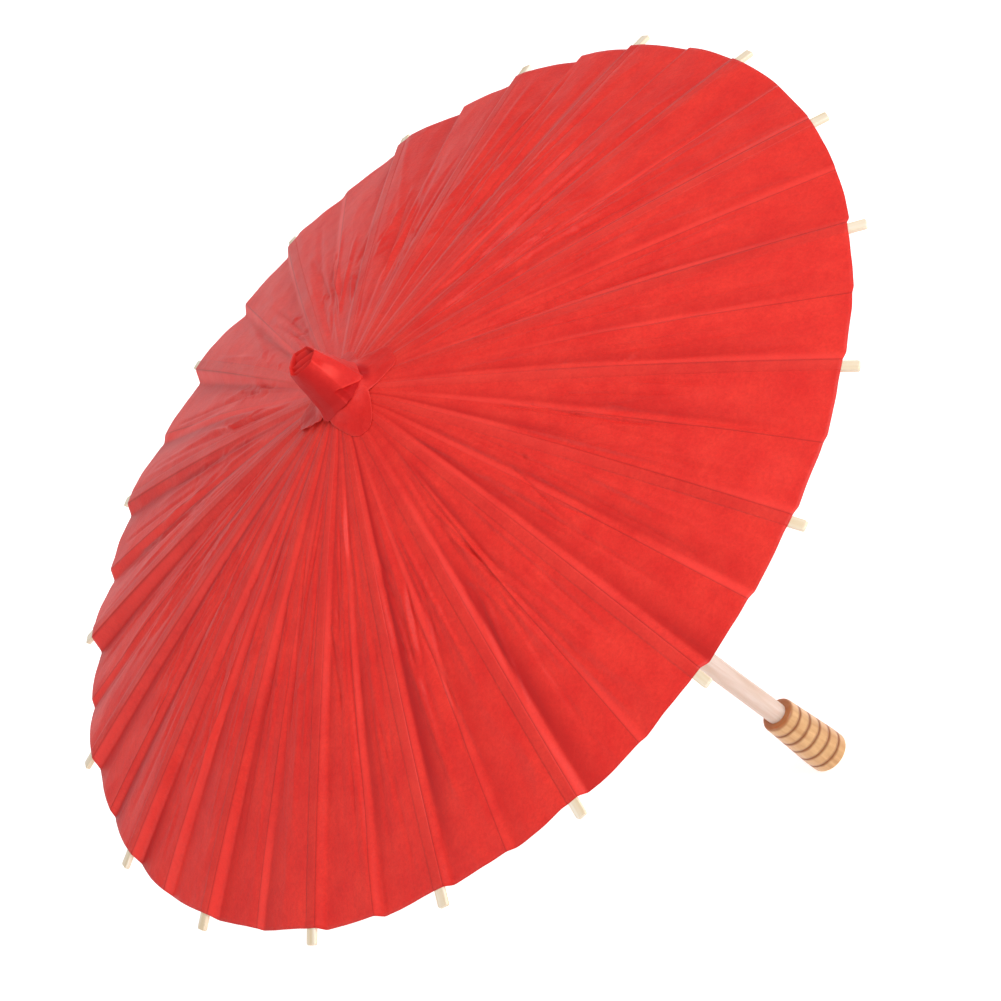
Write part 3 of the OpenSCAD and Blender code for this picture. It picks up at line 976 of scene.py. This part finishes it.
THREAD_R = 0.3 * MM
make_grip()
for node, material in (("shaft", shaft_wood), ("crown_hub", hub_wood), ("runner", hub_wood),
                       ("crown_wire", steel), ("catch", steel), ("catch_pin", steel)):
    paint(frame["nodes"][node], material)
finish_piece(ring_object("runner_thread", HINGE_R, RUNNER_Z, THREAD_R), "runner", thread, "steel")


# ---------------------------------------------------------------- paper cap
CAP_BASE_R, CAP_TIP_R = 12.3 * MM, 7.3 * MM
CAP_FOOT_Z = CAP_BASE_Z + 3 * MM
CAP_TOP_Z = TOTAL_Z - 1.4 * MM
CORNERS_BELOW = np.radians([150, 231, 282, 335, 30, 92])
CORNERS_ABOVE = np.radians([136, 247, 300, 352, 44, 92])
FACET_CUT = 0.11
FOLDS_TURN = math.radians(22)
FOLDS_APART = 3.7 * MM
CAP_WALL = 0.4 * MM
CAP_TURNS = 216
CAP_ROWS = 72
# Directions in degrees: the pointed corner of the foot, the middle of the lapped edge and the notch beside it
TUCKED_CORNER = 158
LAP_MIDDLE = 250
NOTCH = 303


def facet_radius(a, h):
    """Share of the full radius at angle a and share h of the height, on a cone with twisting flat sides."""
    corners = np.unwrap(CORNERS_BELOW) + turn_to(CORNERS_ABOVE, CORNERS_BELOW) * h
    corners = np.append(corners, corners[0] + 2 * math.pi)
    a = (a - corners[0]) % (2 * math.pi) + corners[0]
    k = np.clip(np.searchsorted(corners, a, side="right") - 1, 0, len(corners) - 2)
    middle, half = (corners[k] + corners[k + 1]) / 2, (corners[k + 1] - corners[k]) / 2
    flat = np.minimum(0.85, FACET_CUT / (1 - np.cos(half)))
    return 1 - flat * (1 - np.cos(half) / np.cos(a - middle))


def lap_height(a):
    """Height share of the roll's lapped edge, which slants down to one corner of the foot."""
    return 0.3 - 0.27 * np.clip(turn_to(a, math.radians(229)) / math.radians(44), 0, 1)


def cap_radius(a, h):
    """Radius of the rolled cap's outside at angles a and a share h of its height."""
    r = CAP_BASE_R + (CAP_TIP_R - CAP_BASE_R) * h ** 0.95
    r = r * facet_radius(a, h) + 0.14 * MM * value_noise(21, a / (2 * math.pi) * 18, 0 * a + h * 6, 18)
    below_lap = lap_height(a) - h
    under = np.clip(below_lap / 0.02, 0, 1) * bump_at(a, LAP_MIDDLE, 34) ** 0.4
    r = r - (0.5 + 1.3 * np.clip(below_lap / 0.25, 0, 1)) * MM * under
    r = r - 1.0 * MM * bump_at(a, 254, 20) * max(0.0, 1 - abs(h - 0.76) / 0.3)
    r = r + 0.5 * MM * max(0.0, 1 - h / 0.12)
    r = r + 1.5 * MM * bump_at(a, TUCKED_CORNER, 30) * max(0.0, 1 - h / 0.3) ** 2
    return r - 0.8 * MM * bump_at(a, 292, 32) * max(0.0, 1 - h / 0.35)


def cap_tints(a, h):
    """Painted highlight on the lapped edge's lip, on a facet turned to the light and along a crease; painted
    shade in the recess under the lapped edge and down one side, away from the key light.
    """
    below_lap = lap_height(a) - h
    # Painted shade in the recess under the lapped edge
    under = np.clip(below_lap / 0.03, 0, 1) * bump_at(a, LAP_MIDDLE, 30) ** 0.4
    # Painted highlight along the lapped edge's lip
    lip = np.clip(1 - np.abs(below_lap + 0.012) / 0.022, 0, 1) * bump_at(a, 252, 30) ** 0.5
    # Painted highlight on a facet turned to the light
    facet_highlight = np.clip(bump_at(a, 256, 20) * 2, 0, 1) * max(0.0, 1 - abs(h - 0.6) / 0.24)
    # Painted highlight along a crease above the lap
    ridge = bump_at(a, LAP_MIDDLE, 7) * min(1.0, max(0.0, h - 0.5) * 4)
    shaded = np.clip(turn_to(math.radians(233), a) / math.radians(14), 0, 1) * bump_at(a, 165, 85) ** 0.25
    band = np.clip(1.8 * lip + 1.7 * facet_highlight + 0.9 * ridge, 0, 1.8)
    return band, np.clip(1.2 * under + 0.75 * shaded, 0, 1.1) * np.clip(1 - band, 0, 1)


def cap_ring(a, h, foot, top, inset=0.0):
    """A ring of points round the cap at a share h of its height."""
    r = cap_radius(a, h) - inset
    return np.stack([r * np.cos(a), r * np.sin(a), foot + (top - foot) * h], axis=1)


def cap_lid(rim):
    """Rings of the torn tip that is folded in over itself, from the rim to the middle, and their tints:
    painted highlight on the fold ridges and painted shade over the folded-in tip.
    """
    rings, bands, valleys = [], [], []
    for share in np.linspace(0.9, 0.02, 26):
        x, y = rim[:, 0] * share, rim[:, 1] * share
        across = x * math.cos(FOLDS_TURN) + y * math.sin(FOLDS_TURN)
        fold = np.abs((across / FOLDS_APART + 0.15) % 1 - 0.72)
        # Relief noise that sets how deep the folded-in tip sinks, not a colour
        highlight_and_relief = value_noise(24, x / (2.4 * MM) + 20, y / (2.4 * MM) + 20)
        depth = 0.9 + 2.4 * np.clip(fold * 1.5, 0, 1) + 0.25 * highlight_and_relief
        depth = depth * min(1.0, (1 - share) / 0.1 * 0.6 + 0.4)
        z = rim[:, 2].mean() * (1 - share) + rim[:, 2] * share - depth * MM
        rings.append(np.stack([x, y, z], axis=1))
        # Painted highlight on the fold ridges; painted shade over the whole folded-in tip, darkest between
        # the ridges
        bands.append(0.5 * np.clip(1 - fold * 6, 0, 1))
        valleys.append(0.45 + 0.75 * np.clip(fold * 2.2 - 0.5, 0, 1))
    return rings, bands, valleys


def make_cap():
    """The cap: a rolled and pinched cone whose torn tip is folded in on itself."""
    a = np.linspace(0, 2 * math.pi, CAP_TURNS, endpoint=False)
    foot = CAP_FOOT_Z - 1.9 * MM * bump_at(a, TUCKED_CORNER, 34) ** 1.5 + 0.9 * MM * bump_at(a, 215, 40)
    foot = foot - 0.6 * MM * bump_at(a, 276, 20) + 0.2 * MM * bump_at(a, NOTCH, 17)
    top = CAP_TOP_Z + 0.8 * MM * value_noise(22, a / (2 * math.pi) * 7, 0 * a, 7)
    inside = [cap_ring(a, h, foot, top, CAP_WALL) for h in (0.72, 0.5, 0.3, 0.15, 0.0)]
    heights = np.linspace(0, 1, CAP_ROWS)
    outside = [cap_ring(a, h, foot, top) for h in heights]
    rim = outside[-1]
    lip_steps = ((0.965, -0.12), (0.93, 0.1), (0.91, 0.6))
    lip = [rim * [share, share, 1] - [0, 0, down * MM] for share, down in lip_steps]
    lid, lid_bands, lid_valleys = cap_lid(rim)
    cap = loft("rolled_cap", [list(map(tuple, ring)) for ring in inside + outside + lip + lid])
    cap.data.set_sharp_from_angle(angle=math.radians(50))
    bands, valleys = zip(*(cap_tints(a, h) for h in heights))
    for name, outer, inner in (("band", bands, lid_bands), ("valley", valleys, lid_valleys)):
        plain = [0 * a]
        add_attribute(cap, name, np.concatenate(plain * len(inside) + list(outer) + plain * len(lip) + inner))
    finish_piece(cap, "root", cap_paper, "cap_paper", "cap_cone")


# Each petal, in degrees and millimetres: its direction, its half width and reach,
# how much narrower its end is, and how far one edge lifts
PETALS = (
    (24, 10.5, 25, 0.45, 0.3),
    (97, 10, 27.5, 0.5, 2.3),
    (212, 11, 24.6, 0.62, 0.25),
    (307, 11.5, 25, 0.42, 0.1),
)
PETAL_START = 10.1
PETAL_RISE = 2.35
PETAL_STEPS = 30
PETAL_THICK = 0.2 * MM
PETAL_GLUED = 0.3 * MM
PETAL_OVER_RIB = 0.62 * MM
PETAL_HINGE_R = 15.4 * MM


def paper_height(r, phi):
    """Height of the canopy's upper face at one place."""
    i = round(phi / PITCH)
    away = phi - i * PITCH
    edge = strip_angle(r)
    if abs(away) <= edge:
        return rib_top_z(r) + GLUE + PAPER_THICK
    t = (abs(away) - edge) / (PITCH / 2 - edge)
    return paper_surface(i % RIBS, 1 if away > 0 else -1, np.array([[r]]), np.array([[t]]))[0][0, 0, 2]


def petal_row(k, v, u):
    """Places across petal k at a share v of its reach, and how dark the shadow of the cap's notch is there.
    u runs from -1 to 1 across it."""
    turn, half, reach, taper, sprung = PETALS[k]
    tip = max(0.0, (v - 0.86) / 0.14)
    side = half * (0.82 + 0.18 * min(1, v / 0.25)) * (1 - taper * v ** 1.7) * (1 - 0.22 * tip ** 2) * u
    start = np.sqrt(PETAL_START ** 2 - (0.82 * half * u) ** 2)
    out = start + (reach - 0.7 * np.abs(u) ** 3 - start) * v
    r, phi = np.hypot(out, side) * MM, math.radians(turn) + np.arctan2(side, out)
    glued = np.array([paper_height(*place) for place in zip(r, phi)]) + PETAL_GLUED
    flat = np.maximum(rib_top_z(r) + PETAL_OVER_RIB, glued)
    rim = np.maximum(np.abs(u) ** 5, v ** 9)
    near = np.clip(1 - (r / MM - 11.2) / 6, 0, 1) ** 2 * (1 - 0.5 * bump_at(phi, NOTCH, 20))
    lift = PETAL_RISE * near + sprung * np.clip(u, 0, 1) ** 3 * min(1, v / 0.4) * (1 - 0.4 * v)
    lift = lift + 0.12 * value_noise(30 + k, u * 3 + 9, 0 * u + v * 3) * (1 - rim)
    dark = 1.5 * np.clip(1.5 - (r / MM - 11.3) / 2.4, 0, 1) * bump_at(phi, NOTCH, 30) ** 0.5
    return np.stack([r * np.cos(phi), r * np.sin(phi), flat + (glued - flat) * rim + lift * MM], axis=1), dark


def make_petals():
    """The four cut ends of the cap's paper: they come out from under its foot and are glued down on the
    canopy, each lying down in the pleats along its rim, with one edge that has sprung up."""
    u = np.linspace(-1, 1, PETAL_STEPS)
    # Painted highlight along the two side edges of each petal
    highlight_and_relief = 0.7 * np.clip(np.abs(u) * 9 - 8, 0, 1)[None, :] * np.ones((PETAL_STEPS, 1))
    for k, (turn, half, reach, _, _) in enumerate(PETALS):
        rows, dark = zip(*(petal_row(k, v, u) for v in np.linspace(0, 1, PETAL_STEPS)))
        upper = np.array(rows)
        lower = upper - np.array([0, 0, PETAL_THICK])
        petal = sheet_object(f"cap_petal_{k}", upper, lower, {"band": highlight_and_relief, "valley": np.array(dark)})
        i = round(math.radians(turn) / PITCH) % RIBS
        finish_piece(petal, f"rib_{i:02d}", cap_paper, "cap_paper", "cap_skirt")
        outward, along = plan_axes(math.radians(turn))
        anchor = outward * PETAL_HINGE_R
        anchor.z = rib_top_z(PETAL_HINGE_R)
        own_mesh(petal)


make_cap()
make_petals()


bpy.context.view_layer.update()
